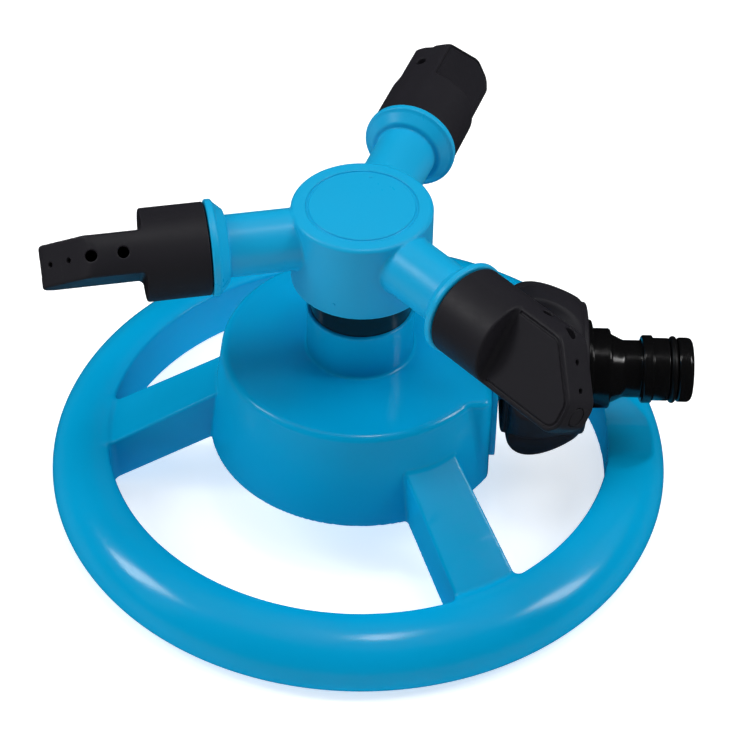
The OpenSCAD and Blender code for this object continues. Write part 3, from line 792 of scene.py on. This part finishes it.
def make_nozzles():
    low, high = (-16.5, -12.5, -12.5), (26.5, 13, 12.5)
    body = surface("nozzle", nozzle_field, low, high, pitch=0.26, share=0.5)
    plug_r = END_PLUG_R - END_PLUG_GAP
    outline = [(0, -END_PLUG_T, 0), (plug_r, -END_PLUG_T, 0.1), (plug_r, 0, 0.35), (0, 0, 0)]
    plug = lathe(rounded(outline), 48)
    for k in (1, 2, 3):
        arm_turn = REST_TURN + 360 // ARMS * (k - 1)
        frame_turn = turn("z", arm_turn) @ turn("x", JET_TILTS[k - 1])
        start = frame_turn @ np.array([HEAD_X, 0, 0]) + np.array([0, 0, ARM_Z])
        named = f"nozzle_{k}"
        piece(f"nozzle_shell_{k}", body, BLACK, named, [named, f"nozzle_cover_{k}"],
              frame_turn, start)
        end = start + frame_turn @ np.array([END[1] - 0.05, END_PLUG_V, 0])
        piece(f"end_plug_{k}", plug, BLACK, named, [f"nozzle_plug_{k}"],
              frame_turn @ ALONG_X, end)


def make_nut():
    low, high = (-23.5, -23.5, 35), (23.5, 23.5, 58)
    made = surface("nut_shell", nut_field, low, high, pitch=0.4, share=0.4)
    piece("nut_shell", made, BLACK, "hose_coupling", ["hose_nut"],
          ALONG_X, (0, 0, INLET_Z))


def make_connector():
    """Quick-connect hose plug, from its tail in the nut to its nose"""
    lock, groove = HOSE_END - 13.0, HOSE_END - 6.0
    tail = NUT_X + 14.2 + 0.2
    outline = rounded([
        (HOSE_BORE, tail, 0.2), (HOSE_TAIL_R, tail, 0.3),
        (HOSE_TAIL_R, NUT_END, 0.1), (HOSE_FLANGE_R, NUT_END, 0.2),
        (HOSE_FLANGE_R, NUT_END + 1.5, 0.45), (HOSE_BODY_R, NUT_END + 1.5, 0.3),
        (HOSE_BODY_R, NUT_END + 6.3, 0.7), (HOSE_CONE_R, NUT_END + 6.3, 0.5),
        (HOSE_NECK_R, NUT_END + 9.6, 2.4), (HOSE_NECK_R, lock, 0.4),
        (HOSE_LOCK_R, lock, 1.1), (HOSE_LOCK_R, lock + 2.8, 1.3),
        (HOSE_STEM_R, lock + 2.8, 0.4), (HOSE_STEM_R, groove, 0.3),
        (HOSE_GROOVE_R, groove, 0.2), (HOSE_GROOVE_R, groove + 2.1, 0.2),
        (HOSE_NOSE_R, groove + 2.1, 0.8), (HOSE_NOSE_R, HOSE_END, 1.7), (HOSE_BORE, HOSE_END, 0.4)
    ])
    piece("connector_body", lathe(outline), GLOSS, "hose_coupling", ["quick_connector"],
          ALONG_X, (0, 0, INLET_Z))


def o_ring(major, minor, at):
    """Outline of a ring of round wire, and its normals"""
    points = [(major + minor * math.cos(a), at + minor * math.sin(a))
              for a in np.linspace(0, 2 * math.pi, 24, endpoint=False)]
    normals = [((p[0] - major) / minor, (p[1] - at) / minor) for p in points]
    return np.array(points), np.array(normals)


def make_connector_seal():
    ring = lathe(o_ring(O_RING_R, O_RING_WIRE, HOSE_END - 4.95))
    piece("plug_ring", ring, RUBBER, "hose_coupling", ["connector_seal"],
          ALONG_X, (0, 0, INLET_Z))


def make_seat():
    bore, neck = STEM_R + STEM_GAP, COLLAR_BORE - 0.05
    outline = rounded([
        (bore, NECK_TOP + 2, 0.2), (neck, NECK_TOP + 2, 0.2), (neck, COLLAR_TOP, 0.1),
        (SEAT_R, COLLAR_TOP, 0.2), (SEAT_R, SEAT_TOP, 0.6), (bore, SEAT_TOP, 0.3)
    ])
    piece("bearing_ring", lathe(outline), GLOSS, "base", ["pivot_seat"])


# CAD nodes that are kept as they are, with the material each one gets
CARRIED = {
    "bottom_cover": BLUE, "cover_screws": STEEL, "water_junction": BLACK, "junction_seal": RUBBER,
    "nut_clip": STEEL, "hose_washer": RUBBER, "filter_screen": STEEL, "spindle": ACETAL,
    "lower_washer": ACETAL, "upper_washer": ACETAL, "spindle_nut": STEEL, "spindle_seal": RUBBER,
    "nozzle_seal_1": RUBBER, "nozzle_seal_2": RUBBER, "nozzle_seal_3": RUBBER,
    "nozzle_clip_1": STEEL, "nozzle_clip_2": STEEL, "nozzle_clip_3": STEEL,
}


def dress_carried():
    for name, material in CARRIED.items():
        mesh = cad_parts[name].data
        mesh.materials.clear()
        mesh.materials.append(material)


# ---- Stage, in metres ----

# The floor is a hair below the ring's foot, so that their faces don't coincide
FLOOR_SIZE, FLOOR_Z = 8.0, -0.00005
FLOOR_GREY, FLOOR_ROUGH, FLOOR_GLOW = 0.8, 0.9, 0.6
WORLD_STRENGTH = 0.06

CENTRE = (0, 0, 0.03)
# Name, place, target, size and power. Glossy surfaces show the boxes, and not the fills.
BOXES = (
    ("left_box", (-0.60, 0.03, 0.60), CENTRE, (0.16, 0.28), 1.5),
    ("right_box", (0.60, -0.05, 0.60), CENTRE, (0.14, 0.30), 1.3),
    ("overhead", (0.04, -0.02, 0.62), (0.04, -0.02, 0.0), (0.05, 0.12), 0.28),
)
FILLS = (
    ("top_box", (0.05, 0.12, 0.90), CENTRE, (1.0, 1.0), 4.6),
    ("left_fill", (-0.72, -0.14, 0.42), CENTRE, (0.40, 0.40), 1.7),
    ("right_fill", (0.62, 0.15, 0.60), CENTRE, (0.40, 0.40), 1.4),
)

# Camera fitted to the photo's ring, dome, hub and arms
LENS, SENSOR = 117.2, 36.0
ELEVATION, DISTANCE, ROLL = math.radians(42.64), 0.62336, math.radians(1.14)
AIM = (0.00179, 0, 0.03281)
VIEW_RANGE = (0.01, 20)


def make_floor():
    bpy.ops.mesh.primitive_plane_add(size=FLOOR_SIZE, location=(0, 0, FLOOR_Z))
    floor = bpy.context.active_object
    floor.name = "floor"
    m = bpy.data.materials.new("paper")
    m.use_nodes = True
    shader = m.node_tree.nodes["Principled BSDF"]
    shader.inputs["Base Color"].default_value = (FLOOR_GREY, FLOOR_GREY, FLOOR_GREY, 1)
    shader.inputs["Roughness"].default_value = FLOOR_ROUGH
    shader.inputs["Emission Color"].default_value = (1, 1, 1, 1)
    shader.inputs["Emission Strength"].default_value = FLOOR_GLOW
    floor.data.materials.append(m)
    floor.visible_glossy = False


def area_light(name, place, target, size, power, glossy):
    data = bpy.data.lights.new(name, "AREA")
    data.shape = "RECTANGLE"
    data.size, data.size_y = size
    data.energy = power
    ob = bpy.data.objects.new(name, data)
    ob.visible_glossy = glossy
    bpy.context.scene.collection.objects.link(ob)
    ob.location = place
    aim = Vector(target) - Vector(place)
    ob.rotation_euler = aim.to_track_quat("-Z", "Y").to_euler()


def make_lights():
    world = bpy.data.worlds.new("studio")
    bpy.context.scene.world = world
    world.use_nodes = True
    background = world.node_tree.nodes["Background"]
    background.inputs["Color"].default_value = (1, 1, 1, 1)
    background.inputs["Strength"].default_value = WORLD_STRENGTH
    world.cycles_visibility.glossy = False
    for box in BOXES:
        area_light(*box, glossy=True)
    for fill in FILLS:
        area_light(*fill, glossy=False)


def make_camera():
    data = bpy.data.cameras.new("camera")
    data.lens, data.sensor_width = LENS, SENSOR
    cam = bpy.data.objects.new("camera", data)
    bpy.context.scene.collection.objects.link(cam)
    back = Vector((0, -math.cos(ELEVATION), math.sin(ELEVATION)))
    cam.location = Vector(AIM) + back * DISTANCE
    aim = (-back).to_track_quat("-Z", "Y").to_matrix().to_4x4() @ Matrix.Rotation(ROLL, 4, "Z")
    cam.rotation_euler = aim.to_euler()
    data.clip_start, data.clip_end = VIEW_RANGE
    bpy.context.scene.camera = cam


make_camera()
make_lights()
make_floor()
make_base()
make_inlet()
make_rotor()
make_cap()
make_nozzles()
make_nut()
make_connector()
make_connector_seal()
make_seat()
dress_carried()
bpy.context.scene.view_settings.view_transform = "Standard"
